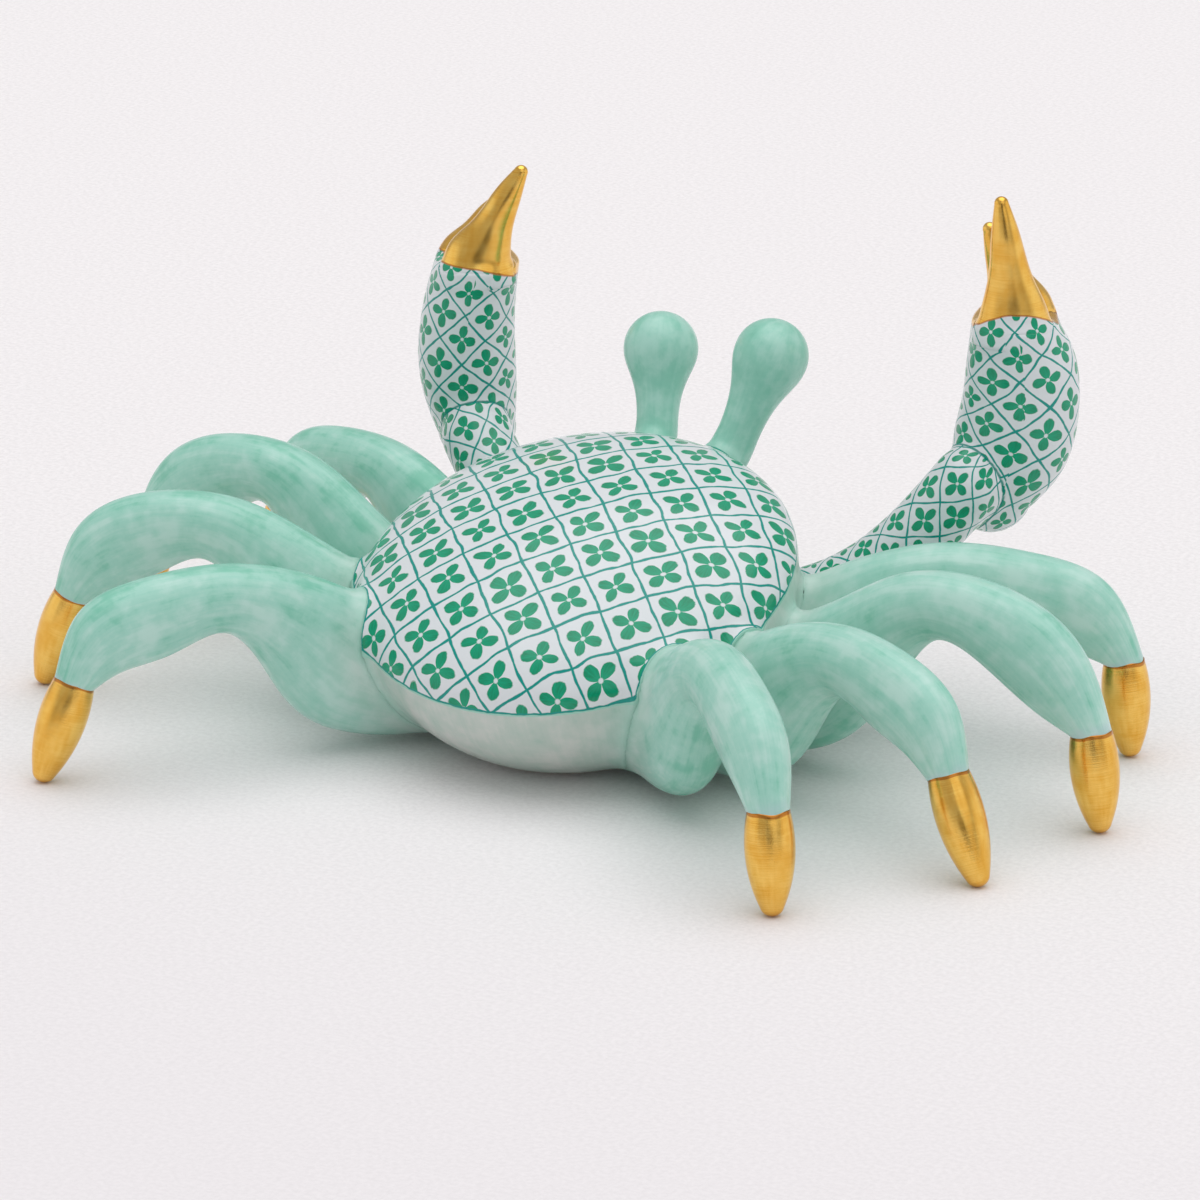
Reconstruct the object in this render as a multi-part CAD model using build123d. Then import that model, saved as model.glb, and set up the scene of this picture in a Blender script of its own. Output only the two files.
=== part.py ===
from build123d import *
import os
from collections import namedtuple
from math import cos, pi, radians, sin, sqrt

# Sizes are in millimetres and angles in degrees. +X is the crab's right, +Y is the way it faces and +Z is up.
# The origin is the centre of the flat foot under the belly. The claws and legs of the two sides are set by hand,
# so they differ a little.

# Body: an upper and a lower cast shell that meet at a tilted rim, low at the rear and high at the front
rim_radius = 27.6
rim_tilt = 19.5
dome_height = 9.7
bowl_depth = 21.5
fullness = 0.552
shell_wall = 3.0
foot_radius = 9.0
vent_diameter = 4.0
vent_behind = 5.0
vent_length = 12.0

# Joints between castings and the gilding
luting = 0.1
film = 0.2
film_gap = 0.03
cap_step = 0.06

# Walking legs, measured in the upright plane that each leg lies in
hip_inset = 2.0
hip_sink = 4.0
hip_height = 10.6
hip_tall = 17.0
hip_wide = 10.2
hip_dip = 1.0
hip_share = 0.12
thigh_rise = 6.2
thigh_tall = 13.4
thigh_wide = 9.4
thigh_share = 0.55
knee_tall = 8.6
knee_wide = 8.2
shin_drop = 1.35
shin_tall = 10.3
shin_wide = 8.0
shin_share = 0.45
calf_height = 17.0
calf_tall = 9.1
calf_wide = 7.3
calf_share = 0.84
neck_height = 12.3
neck_diameter = 5.4

# Toes: straight bullets, a little fuller than the neck above them
toe_diameter = 6.1
toe_tip_radius = 1.5
toe_shoulder = 0.42
toe_taper = 14.0
toe_root = 0.8

# Eyes: a ball on a pear-shaped stalk that leans forward and outward
eye_ahead = 2.6
eye_reach = 5.0
eye_sink = 7.0
eye_ball_radius = 4.75
eye_stalk_radius = 2.65
eye_waist = 0.2
eye_base_radius = 3.0
eye_swell = 0.5

# Arms: short and round, with a domed wrist
arm_sink = 6.0
arm_root_height = 11.5
arm_root_tall = 11.0
arm_root_wide = 10.0
arm_tall = 9.2
arm_wide = 9.0
arm_end = 9.2
arm_root_share = 0.25
arm_middle_share = 0.65

# Claws: a swelling palm and two horns, one behind the other
pincer_heading = 120.0
palm_base = 10.2
palm_length = 22.2
palm_deep = 13.8
palm_top_deep = 13.6
heel_share = 0.2
heel_size = 0.95
palm_middle_share = 0.5
shoulder_share = 0.75
shoulder_size = 0.94
finger_spacing = 6.6
finger_sink = 1.5
finger_base_wide = 8.5
finger_base_deep = 6.0
finger_middle_wide = 5.7
finger_middle_deep = 4.8
finger_middle_share = 0.4
finger_end_wide = 3.6
finger_end_share = 0.75
finger_curl = 1.3
finger_tip_radius = 0.9

Leg = namedtuple("Leg", "side bearing heading reach knee_along knee_height neck_setback")
Arm = namedtuple("Arm", "side bearing heading reach wrist_height")
Eye = namedtuple("Eye", "side spread lean rise")
Claw = namedtuple(
    "Claw",
    "beyond base_rise base_side top_side bulge wide top_wide stagger "
    "rear_length rear_lean front_length front_lean",
)

legs = {
    "right_leg_1": Leg(1, 37.5, 18.4, 44.3, 21.0, 21.8, 1.0),
    "right_leg_2": Leg(1, 13.0, -2.6, 45.8, 22.0, 24.4, 1.4),
    "right_leg_3": Leg(1, -11.5, -20.0, 43.6, 19.5, 21.6, 5.2),
    "right_leg_4": Leg(1, -34.0, -43.0, 38.8, 17.0, 22.0, 1.6),
    "left_leg_1": Leg(-1, 37.0, 18.8, 44.0, 21.0, 22.0, 2.0),
    "left_leg_2": Leg(-1, 12.5, 4.0, 46.2, 22.0, 24.6, 3.0),
    "left_leg_3": Leg(-1, -12.5, -14.6, 44.7, 21.5, 23.0, 4.0),
    "left_leg_4": Leg(-1, -36.4, -48.3, 42.1, 18.6, 21.2, 4.0),
}
arms = {
    "right": Arm(1, 61.0, 26.0, 27.2, 29.8),
    "left": Arm(-1, 61.0, 31.0, 26.2, 24.0),
}
claws = {
    "right": Claw(4.5, -2.4, 3.4, 6.0, 2.1, 14.7, 10.8, 0.4, 16.2, -1.8, 11.0, -4.2),
    "left": Claw(6.0, -0.4, -0.2, -0.1, -1.3, 12.6, 11.0, 0.0, 13.0, 6.2, 8.2, 5.6),
}
eyes = {
    "right": Eye(1, 5.8, 3.0, 11.8),
    "left": Eye(-1, 4.9, 2.2, 10.3),
}

# A length greater than the whole figurine
beyond_all = 220.0
half_space = Box(beyond_all, beyond_all, beyond_all, align=(Align.CENTER, Align.CENTER, Align.MIN))

# The foot cuts the bottom off the tilted bowl, which sets how high and how far forward the rim's centre lies
tilt_sin = sin(radians(rim_tilt))
tilt_cos = cos(radians(rim_tilt))
bowl_reach = sqrt((rim_radius * tilt_sin) ** 2 + (bowl_depth * tilt_cos) ** 2)
rim_height = bowl_reach * sqrt(1 - (foot_radius / rim_radius) ** 2)
rim_ahead = (rim_radius**2 - bowl_depth**2) * tilt_sin * tilt_cos * rim_height / bowl_reach**2
rim_plane = Plane(origin=(0, rim_ahead, rim_height), x_dir=(1, 0, 0), z_dir=(0, -tilt_sin, tilt_cos))


def meridian(radius, rise):
    """A quarter of an oval, from the rim up to the axis."""
    return Bezier((radius, 0), (radius, fullness * rise), (fullness * radius, rise), (0, rise))


def dome(radius, height, wall=0):
    """Half an oval of revolution on the rim plane, over it for a positive height and under it for a negative one.
    With a wall it is hollow and open at the rim."""
    rise = abs(height)
    outline = [meridian(radius, rise)]
    if wall:
        outline.append(meridian(radius - wall, rise - wall))
    inner_radius, inner_rise = (radius - wall, rise - wall) if wall else (0, 0)
    outline += [Line((0, rise), (0, inner_rise)), Line((inner_radius, 0), (radius, 0))]
    solid = revolve(Plane.XZ * make_face(outline), Axis.Z)
    if height < 0:
        solid = mirror(solid, Plane.XY)
    return rim_plane * solid


def above(height):
    """All the space over a level plane, as far as the figurine reaches."""
    return Pos(0, 0, height) * half_space


def carapace():
    return dome(rim_radius, dome_height, shell_wall)


def belly():
    outside = dome(rim_radius, -bowl_depth) & above(0)
    inside = dome(rim_radius - shell_wall, shell_wall - bowl_depth) & above(shell_wall)
    vent = Pos(0, -vent_behind, 0) * Cylinder(vent_diameter / 2, vent_length)
    return outside - inside - vent


def seated(limb):
    """A limb with its root trimmed to the body, one slip joint away from it."""
    limb -= dome(rim_radius + luting, dome_height + luting)
    limb -= dome(rim_radius + luting, -bowl_depth - luting)
    return limb.solids().sort_by(SortBy.VOLUME)[-1]


def oval(at, direction, across, wide, tall):
    """A closed smooth section with one seam point, so that sections of any proportion line up."""
    ring = [(wide / 2 * cos(radians(a)), tall / 2 * sin(radians(a))) for a in range(0, 360, 45)]
    return Plane(origin=at, x_dir=across, z_dir=direction) * make_face(Spline(*ring, periodic=True))


def limb(stations, across, end_direction=None, start_cap=0, end_cap=0):
    """A smooth body through stations, each a place with its width and height, with a ball on an end that is capped."""
    places = [Vector(*station[0]) for station in stations]
    directions = [after - before for before, after in zip(places[:1] + places, places[1:] + places[-1:])]
    if end_direction is not None:
        directions[-1] = end_direction
    sections = [
        oval(place, direction, across, wide, tall)
        for (place, wide, tall), direction in zip(stations, directions)
    ]
    solid = loft(sections)
    for place, radius in ((places[0], start_cap), (places[-1], end_cap)):
        if radius:
            solid += Pos(place) * Sphere(radius)
    return solid


def level(heading, side):
    """The level direction at an angle from the crab's side towards its front."""
    return Vector(side * cos(radians(heading)), sin(radians(heading)), 0)


def hip_place(bearing, side):
    """The place of a limb's root, a little inside the rim."""
    radius = rim_radius - hip_inset
    return Vector(side * radius * cos(radians(bearing)), rim_ahead + radius * tilt_cos * sin(radians(bearing)), 0)


def beside(limb, neighbours):
    """A limb kept to its own side of the upright joints with the limbs next to it."""
    root = hip_place(limb.bearing, limb.side)
    kept = above(-beyond_all / 2)
    for other in neighbours:
        other_root = hip_place(other.bearing, other.side)
        between = level((limb.heading + other.heading) / 2, limb.side)
        away = between.cross(Vector(0, 0, 1))
        if away.dot(root - other_root) < 0:
            away = -away
        joint = Plane(origin=(root + other_root) * 0.5 + away * (luting / 2), x_dir=between, z_dir=away)
        kept &= joint * half_space
    return kept


def bullet(length, base_radius, shoulder_radius, tip_radius, start):
    """A round-tipped bullet up +Z, whose tip is a ball about the height length."""
    lean = radians(toe_taper)
    middle = (lean + pi / 2) / 2
    side_end = (tip_radius * cos(lean), length + tip_radius * sin(lean))
    tip_middle = (tip_radius * cos(middle), length + tip_radius * sin(middle))
    tip = (0, length + tip_radius)
    outline = [
        Line((0, start), (base_radius, start)),
        ThreePointArc((base_radius, 0), (shoulder_radius, toe_shoulder * length), side_end),
        ThreePointArc(side_end, tip_middle, tip),
        Line(tip, (0, start)),
    ]
    if start < 0:
        outline.append(Line((base_radius, start), (base_radius, 0)))
    return revolve(Plane.XZ * make_face(outline), Axis.Z)


def leg_and_gilding(leg):
    root = hip_place(leg.bearing, leg.side)
    out = level(leg.heading, leg.side)
    across = level(leg.heading - 90, leg.side)
    neck_along = leg.reach - leg.neck_setback
    shin_length = neck_along - leg.knee_along

    def place(along, height):
        return root + out * along + Vector(0, 0, height)

    neck = place(neck_along, neck_height)
    tip = place(leg.reach, toe_tip_radius)
    nail = tip - neck
    stations = [
        (place(-hip_sink, hip_height - hip_dip), hip_wide, hip_tall),
        (place(hip_share * leg.knee_along, hip_height), hip_wide, hip_tall),
        (place(thigh_share * leg.knee_along, hip_height + thigh_rise), thigh_wide, thigh_tall),
        (place(leg.knee_along, leg.knee_height), knee_wide, knee_tall),
        (place(leg.knee_along + shin_share * shin_length, leg.knee_height - shin_drop), shin_wide, shin_tall),
        (place(leg.knee_along + calf_share * shin_length, calf_height), calf_wide, calf_tall),
        (neck, neck_diameter, neck_diameter),
    ]
    shaft = limb(stations, across, end_direction=nail)
    nail_plane = Plane(origin=neck, x_dir=across, z_dir=nail)
    neck_radius = neck_diameter / 2
    core_radius = neck_radius - film
    toe_radius = toe_diameter / 2
    length = nail.length
    core = bullet(length, core_radius, toe_radius - film, toe_tip_radius - film, -toe_root)
    seat = bullet(length, core_radius + film_gap, toe_radius - film + film_gap, toe_tip_radius - film + film_gap, 0)
    gilded = bullet(length, neck_radius, toe_radius, toe_tip_radius, 0)
    return shaft + nail_plane * core, nail_plane * (gilded - seat)


def eye_solid(eye):
    edge = rim_ahead + rim_radius * tilt_cos
    base = Vector(eye.side * eye.spread, edge + eye_ahead, rim_height + rim_radius * tilt_sin)
    lean = Vector(eye.side * eye.lean, eye_reach, eye.rise)
    ball = lean.length
    top = ball + eye_ball_radius
    waist = eye_waist * ball
    shaft = Line((eye_base_radius, -eye_sink), (eye_stalk_radius, waist))
    swell = waist + eye_swell * (ball - waist)
    pear = Bezier(
        (eye_stalk_radius, waist), (eye_stalk_radius, swell), (eye_ball_radius, swell), (eye_ball_radius, ball)
    )
    crown = RadiusArc((eye_ball_radius, ball), (0, top), -eye_ball_radius)
    foot = [Line((0, top), (0, -eye_sink)), Line((0, -eye_sink), (eye_base_radius, -eye_sink))]
    outline = [shaft, pear, crown] + foot
    turned = revolve(Plane.XZ * make_face(outline), Axis.Z)
    return seated(Plane(origin=base, x_dir=(1, 0, 0), z_dir=lean) * turned)


def arm_place(arm, share):
    """A place on the arm's curve, which leaves the body level and turns up to the wrist."""
    run = level(arm.heading, arm.side) * (arm.reach * share)
    height = arm_root_height + (arm.wrist_height - arm_root_height) * max(share, 0) ** 2
    return hip_place(arm.bearing, arm.side) + run + Vector(0, 0, height)


def arm_solid(arm, grow=0.0):
    end = arm_end - 2 * cap_step
    stations = [
        (arm_place(arm, -arm_sink / arm.reach), arm_root_wide, arm_root_tall),
        (arm_place(arm, arm_root_share), arm_root_wide, arm_root_tall),
        (arm_place(arm, arm_middle_share), arm_wide, arm_tall),
        (arm_place(arm, 1), end, end),
    ]
    stations = [(place, wide + 2 * grow, tall + 2 * grow) for place, wide, tall in stations]
    return limb(stations, level(arm.heading - 90, arm.side), end_cap=arm_end / 2 + grow)


def finger(base, lean, length, across, grow):
    """A horn that rises from base and leans over sideways, with its foot sunk below the base."""
    tip_wide = 2 * (finger_tip_radius - cap_step)

    def place(share):
        return base + across * (lean * share**finger_curl) + Vector(0, 0, length * share)

    stations = [
        (base - Vector(0, 0, finger_sink), finger_base_wide, finger_base_deep),
        (base, finger_base_wide, finger_base_deep),
        (place(finger_middle_share), finger_middle_wide, finger_middle_deep),
        (place(finger_end_share), finger_end_wide, finger_end_wide),
        (place(1), tip_wide, tip_wide),
    ]
    stations = [(spot, wide + 2 * grow, deep + 2 * grow) for spot, wide, deep in stations]
    return limb(stations, across, end_cap=finger_tip_radius + grow)


def claw_and_gilding(claw, arm):
    wrist = arm_place(arm, 1)
    apart = level(pincer_heading, 1)
    across = level(pincer_heading - 90, 1)

    def place(share):
        sideways = claw.base_side + (claw.top_side - claw.base_side) * share + claw.bulge * sin(pi * share)
        height = claw.base_rise + palm_length * share
        return wrist + across * sideways + apart * claw.beyond + Vector(0, 0, height)

    base = palm_base - 2 * cap_step
    stations = [
        (place(0), base, base),
        (place(heel_share), heel_size * claw.wide, heel_size * palm_deep),
        (place(palm_middle_share), claw.wide, palm_deep),
        (place(shoulder_share), shoulder_size * claw.wide, palm_deep),
        (place(1), claw.top_wide, palm_top_deep),
    ]
    palm = limb(stations, across, end_direction=Vector(0, 0, 1), start_cap=palm_base / 2)
    top = place(1)
    solid = palm - arm_solid(arm, grow=luting)
    gildings = {}
    for name, sign, length, lean in (("rear", -1, claw.rear_length, claw.rear_lean),
                                     ("front", 1, claw.front_length, claw.front_lean)):
        foot = top + apart * (sign * finger_spacing / 2) + across * (sign * claw.stagger)
        solid += finger(foot, lean, length, across, -film)
        horn = finger(foot, lean, length, across, 0) & above(top.Z)
        gildings[name] = horn - finger(foot, lean, length, across, film_gap - film)
    return solid.solids().sort_by(SortBy.VOLUME)[-1], gildings


parts = {"carapace": carapace(), "belly": belly()}
for side, arm in arms.items():
    row = [arm] + [leg for name, leg in legs.items() if name.startswith(side)]
    for number, leg in enumerate(row[1:], start=1):
        neighbours = row[number - 1 : number] + row[number + 1 : number + 2]
        solid, parts[f"{side}_toe_gilding_{number}"] = leg_and_gilding(leg)
        parts[f"{side}_leg_{number}"] = seated(solid & beside(leg, neighbours))
    parts[f"{side}_arm"] = seated(arm_solid(arm) & beside(arm, row[1:2]))
    parts[f"{side}_claw"], gildings = claw_and_gilding(claws[side], arm)
    for finger_name, gilded in gildings.items():
        parts[f"{side}_{finger_name}_finger_gilding"] = gilded
    parts[f"{side}_eye"] = eye_solid(eyes[side])

os.makedirs("parts", exist_ok=True)
for name, shape in parts.items():
    export_step(shape, f"parts/{name}.step")
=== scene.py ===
from collections import namedtuple
from math import cos, pi, radians, sin, sqrt

import bmesh
import bpy
import numpy as np
from mathutils import Matrix, Vector
from mathutils.bvhtree import BVHTree


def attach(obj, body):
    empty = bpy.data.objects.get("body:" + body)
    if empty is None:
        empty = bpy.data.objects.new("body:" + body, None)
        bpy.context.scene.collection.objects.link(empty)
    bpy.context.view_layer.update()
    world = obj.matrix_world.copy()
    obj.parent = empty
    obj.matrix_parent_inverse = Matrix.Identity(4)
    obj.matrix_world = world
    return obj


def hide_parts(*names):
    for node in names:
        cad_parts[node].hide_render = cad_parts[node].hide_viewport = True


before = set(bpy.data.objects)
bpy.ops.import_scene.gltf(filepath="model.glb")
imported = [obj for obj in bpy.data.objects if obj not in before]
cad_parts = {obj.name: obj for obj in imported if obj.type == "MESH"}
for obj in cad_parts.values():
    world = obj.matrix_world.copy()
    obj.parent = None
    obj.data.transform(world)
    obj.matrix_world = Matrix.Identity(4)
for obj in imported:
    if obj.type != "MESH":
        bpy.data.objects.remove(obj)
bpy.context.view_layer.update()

# Sizes are in millimetres and angles in degrees, in the frame of the solids: +X is the crab's
# right, +Y is the way it faces, +Z is up, and the origin is the centre of the flat foot. Meshes
# are made in metres.
MM = 0.001
TINY = 1e-12

# Body
rim_radius = 27.6
rim_tilt = 19.5
dome_height = 9.7
bowl_depth = 21.5
fullness = 0.552
foot_radius = 9.0
vent_diameter = 4.0
vent_behind = 5.0
vent_depth = 6.0
vent_sides = 40

# Legs
hip_inset = 2.0
hip_sink = 4.0
hip_height = 10.6
hip_tall = 17.0
hip_wide = 10.2
hip_dip = 1.0
hip_share = 0.12
thigh_rise = 6.2
thigh_tall = 13.4
thigh_wide = 9.4
thigh_share = 0.55
knee_tall = 8.6
knee_wide = 8.2
shin_drop = 1.35
shin_tall = 10.3
shin_wide = 8.0
shin_share = 0.45
calf_height = 17.0
calf_tall = 9.1
calf_wide = 7.3
calf_share = 0.84
neck_height = 12.3
neck_diameter = 5.0
toe_diameter = 5.95
toe_tip_radius = 1.5
toe_shoulder = 0.46
toe_taper = 14.0

# Eyes
eye_ahead = 2.6
eye_reach = 5.0
eye_sink = 7.0
eye_ball_radius = 4.75
eye_stalk_radius = 2.65
eye_waist = 0.2
eye_base_radius = 3.0
eye_neck = 0.6
eye_cheek = 0.7

# Arms and claws
arm_sink = 6.0
arm_root_height = 11.5
arm_root_tall = 11.0
arm_root_wide = 10.0
arm_tall = 9.2
arm_wide = 9.0
arm_end = 9.2
arm_root_share = 0.25
arm_middle_share = 0.65
pincer_heading = 120.0
palm_base = 10.2
palm_length = 22.2
palm_deep = 13.7
palm_top_deep = 13.6
palm_crown = 1.2
heel_share = 0.2
heel_size = 0.95
palm_middle_share = 0.5
shoulder_share = 0.75
shoulder_size = 0.94
finger_spacing = 6.6
finger_sink = 1.5
finger_base_wide = 9.3
finger_base_deep = 6.6
finger_middle_wide = 5.7
finger_middle_deep = 4.8
finger_middle_share = 0.4
finger_end_wide = 3.6
finger_end_share = 0.75
finger_curl = 1.3
finger_tip_radius = 0.9

# Ends that lie hidden inside the body: how far in they reach, their size, and how far an eye's
# stalk bends back
root_reach = 18.0
root_size = 7.0
eye_bend = 6.0
eye_foot_radius = 2.0

# How far the slip at each joint is sponged out
hip_fillet = 3.4
eye_fillet = 2.6
arm_fillet = 2.6
wrist_fillet = 1.8
finger_fillet = 1.6

# A fillet: its height for its width, how fast it falls off outside and inside the neighbour, how
# sharply two fillets join, how far the skin turns to the neighbour, and its least slope
fillet_height = 0.25
fillet_fall = 2
fillet_fall_inside = 5
fillet_join = 4
fillet_turn = 0.5
fillet_slope = 0.45

# How far a leg's green runs into the belly, how far past the rim each half of the body goes, and
# how near to a limb the shell's border is measured
root_spread = 7.0
rim_overlap = 0.6
border_reach = 4.0

# Gilding on a toe: its film, how far it laps up the leg, its lip there, and how its edge wavers
gilt_film = 0.07
gilt_overlap = 0.35
gilt_lip_inset = 0.5
gilt_lip_share = 0.7
gilt_waver = 0.11
gilt_second_waver = 0.6
gilt_waver_length = 3.0

# The radius of a leg that brush strokes are measured round
limb_radius = 4.3

# Cells of the trellis: their size on the shell, their number round an arm and a claw, and their
# length there
shell_cell = 8.6
cells_round_arm = 5
cells_round_claw = 6
limb_cell = 6.4

Leg = namedtuple("Leg", "side bearing heading reach knee_along knee_height neck_setback web")
Arm = namedtuple("Arm", "side bearing heading reach wrist_height")
Eye = namedtuple("Eye", "side spread lean rise")
GiltEdge = namedtuple("GiltEdge", "rear_rise side_rise")
Claw = namedtuple(
    "Claw",
    "beyond base_rise base_side top_side bulge wide top_wide stagger "
    "rear_length rear_lean front_length front_lean",
)
legs = {
    "right_leg_1": Leg(1, 37.5, 18.4, 44.3, 21.0, 21.8, 1.0, 0.0),
    "right_leg_2": Leg(1, 13.0, -2.6, 45.8, 22.0, 24.4, 1.4, 0.0),
    "right_leg_3": Leg(1, -11.5, -20.0, 43.6, 19.5, 21.6, 5.2, 0.0),
    "right_leg_4": Leg(1, -34.0, -43.0, 38.8, 17.0, 22.0, 1.6, 0.0),
    "left_leg_1": Leg(-1, 37.0, 18.8, 44.0, 21.0, 22.0, 2.0, 3.0),
    "left_leg_2": Leg(-1, 12.5, 4.0, 46.2, 22.0, 24.6, 3.0, 2.4),
    "left_leg_3": Leg(-1, -12.5, -14.6, 44.7, 21.5, 23.0, 4.0, 0.0),
    "left_leg_4": Leg(-1, -36.4, -48.3, 42.1, 18.6, 21.2, 4.0, 0.0),
}
arms = {
    "right": Arm(1, 61.0, 26.0, 27.2, 29.8),
    "left": Arm(-1, 61.0, 31.0, 26.2, 24.0),
}
claws = {
    "right": Claw(4.5, -2.4, 3.4, 6.0, 2.1, 14.7, 10.8, 0.4, 16.2, -1.8, 11.0, -3.6),
    "left": Claw(6.0, -0.4, -0.2, -0.1, -1.3, 12.6, 11.0, -0.2, 13.0, 5.6, 7.4, 3.0),
}
gilt_edges = {
    "right": GiltEdge(3.2, 0.2),
    "left": GiltEdge(0.9, -1.1),
}
eyes = {
    "right": Eye(1, 5.8, 3.0, 11.8),
    "left": Eye(-1, 4.9, 2.2, 10.3),
}

tilt_sin = sin(radians(rim_tilt))
tilt_cos = cos(radians(rim_tilt))
bowl_reach = sqrt((rim_radius * tilt_sin) ** 2 + (bowl_depth * tilt_cos) ** 2)
rim_height = bowl_reach * sqrt(1 - (foot_radius / rim_radius) ** 2)
rim_ahead = (rim_radius**2 - bowl_depth**2) * tilt_sin * tilt_cos * rim_height / bowl_reach**2
RIGHT, AHEAD, UP = np.eye(3)


# Curves and surfaces

def unit(vector):
    return vector / np.linalg.norm(vector)


def distances(points):
    """How far along a line of points each of them lies."""
    steps = np.linalg.norm(np.diff(points, axis=0), axis=1)
    return np.concatenate([[0], np.cumsum(steps)])


def spline(knots, values, at):
    """A natural cubic spline through one value, of any shape, at each knot."""
    count = len(knots)
    gaps = np.diff(knots)
    table = values.reshape(count, -1)
    slopes = np.diff(table, axis=0) / gaps[:, None]
    system = np.eye(count)
    target = np.zeros_like(table)
    for i in range(1, count - 1):
        system[i, i - 1 : i + 2] = gaps[i - 1], 2 * (gaps[i - 1] + gaps[i]), gaps[i]
        target[i] = 6 * (slopes[i] - slopes[i - 1])
    bend = np.linalg.solve(system, target)
    span = np.clip(np.searchsorted(knots, at) - 1, 0, count - 2)
    before = ((knots[span + 1] - at) / gaps[span])[:, None]
    after = 1 - before
    bent = (before**3 - before) * bend[span] + (after**3 - after) * bend[span + 1]
    out = before * table[span] + after * table[span + 1] + bent * (gaps[span] ** 2)[:, None] / 6
    return out.reshape((len(at),) + values.shape[1:])


def bezier(points, count):
    """Points on a cubic curve with four control points."""
    t = np.linspace(0, 1, count)[:, None]
    a, b, c, d = np.array(points, float)
    return (1 - t) ** 3 * a + 3 * t * (1 - t) ** 2 * b + 3 * t**2 * (1 - t) * c + t**3 * d


def arc(first, middle, last, count):
    """Points on the circle through three points of a plane."""
    a, b, c = np.array([first, middle, last], float)
    centre = np.linalg.solve(2 * np.array([b - a, c - a]), [b @ b - a @ a, c @ c - a @ a])
    start, _, end = np.unwrap([np.arctan2(*(p - centre)[::-1]) for p in (a, b, c)])
    turns = np.linspace(start, end, count)
    return centre + np.linalg.norm(a - centre) * np.stack([np.cos(turns), np.sin(turns)], 1)


def turns_round(segments):
    """Angles round a section, which starts at its lowest point."""
    return np.linspace(-pi / 2, 1.5 * pi, segments, endpoint=False)


def circles(radii, sideways, upward, turns):
    """Rings of those radii, all about the origin."""
    circle = np.cos(turns)[:, None] * sideways + np.sin(turns)[:, None] * upward
    return radii[:, None, None] * circle


def axes_of(direction, across):
    """The axes of a section: across, the other way in its plane, and along."""
    along = unit(direction)
    sideways = unit(across - along * np.dot(across, along))
    return sideways, np.cross(along, sideways), along


def oval(place, direction, across, wide, tall, segments):
    sideways, upward, _ = axes_of(direction, across)
    turns = turns_round(segments)[:, None]
    return place + sideways * (wide / 2 * np.cos(turns)) + upward * (tall / 2 * np.sin(turns))


def sweep(stations, across, end_direction=None, segments=64, step=0.55):
    """Rings about a step apart through stations, each a place with a width and a height."""
    places = [place for place, _, _ in stations]
    directions = [b - a for a, b in zip(places[:1] + places, places[1:] + places[-1:])]
    if end_direction is not None:
        directions[-1] = end_direction
    rings = np.array([
        oval(place, direction, across, wide, tall, segments)
        for (place, wide, tall), direction in zip(stations, directions)
    ])
    knots = distances(places)
    return spline(knots, rings, np.linspace(0, knots[-1], int(knots[-1] / step) + 1))


def domed(rings, height, at_start=False, count=7):
    """Rings with a rounded end of that height added, which shrinks to its middle."""
    edge, before = (rings[0], rings[1]) if at_start else (rings[-1], rings[-2])
    middle = edge.mean(0)
    outward = unit(middle - before.mean(0)) * height
    turns = np.linspace(0, pi / 2, count)[1:-1]
    extra = np.array([middle + (edge - middle) * cos(t) + outward * sin(t) for t in turns])
    pole = middle + outward
    rings = np.concatenate([extra[::-1], rings] if at_start else [rings, extra])
    return rings, pole


class Form:
    """A closed skin of rings with a point at each end. Its paint coordinates are the share of the
    way round, and the length along it in millimetres."""

    def __init__(self, rings, start, end):
        count, around = rings.shape[:2]
        lengths = distances(np.vstack([start, rings[:, around // 2], end]))
        self.ring_lengths = lengths[1:-1]
        self.points = np.vstack([start, rings.reshape(-1, 3), end])
        self.along = np.concatenate([lengths[:1], np.repeat(lengths[1:-1], around), lengths[-1:]])
        self.faces = []
        corners = []
        last = len(self.points) - 1
        for i in range(count + 1):
            low, high = 1 + (i - 1) * around, 1 + i * around
            here, there = lengths[i], lengths[i + 1]
            for j in range(around):
                k = (j + 1) % around
                share, after = j / around, (j + 1) / around
                middle = (share + after) / 2
                if i == 0:
                    self.faces.append((0, high + k, high + j))
                    corners += [(middle, here), (after, there), (share, there)]
                elif i == count:
                    self.faces.append((low + j, low + k, last))
                    corners += [(share, here), (after, here), (middle, there)]
                else:
                    self.faces.append((low + j, low + k, high + k, high + j))
                    corners += [(share, here), (after, here), (after, there), (share, there)]
        self.corners = np.array(corners)
        self.marks = {}
        self.tree = BVHTree.FromPolygons(self.points.tolist(), self.faces)

    def normals(self):
        """The way out at each point, from the faces round it by their areas."""
        total = np.zeros_like(self.points)
        for size in (3, 4):
            faces = np.array([face for face in self.faces if len(face) == size])
            places = self.points[faces]
            outward = np.cross(places[:, 2] - places[:, 0], places[:, -1] - places[:, 1])
            for corner in range(size):
                np.add.at(total, faces[:, corner], outward)
        return total / (np.linalg.norm(total, axis=1, keepdims=True) + TINY)


def nearness(points, other, reach):
    """Signed distance from each point within reach to another form, and the way out of that."""
    gap = np.full(len(points), float(reach))
    away = np.zeros_like(points)
    low, high = other.points.min(0) - reach, other.points.max(0) + reach
    for i in np.where(np.all((points > low) & (points < high), axis=1))[0]:
        place, normal, _, distance = other.tree.find_nearest(points[i], reach)
        if place is not None:
            outside = (Vector(points[i]) - place).dot(normal) >= 0
            gap[i] = distance if outside else -distance
            away[i] = normal
    return gap, away


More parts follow.
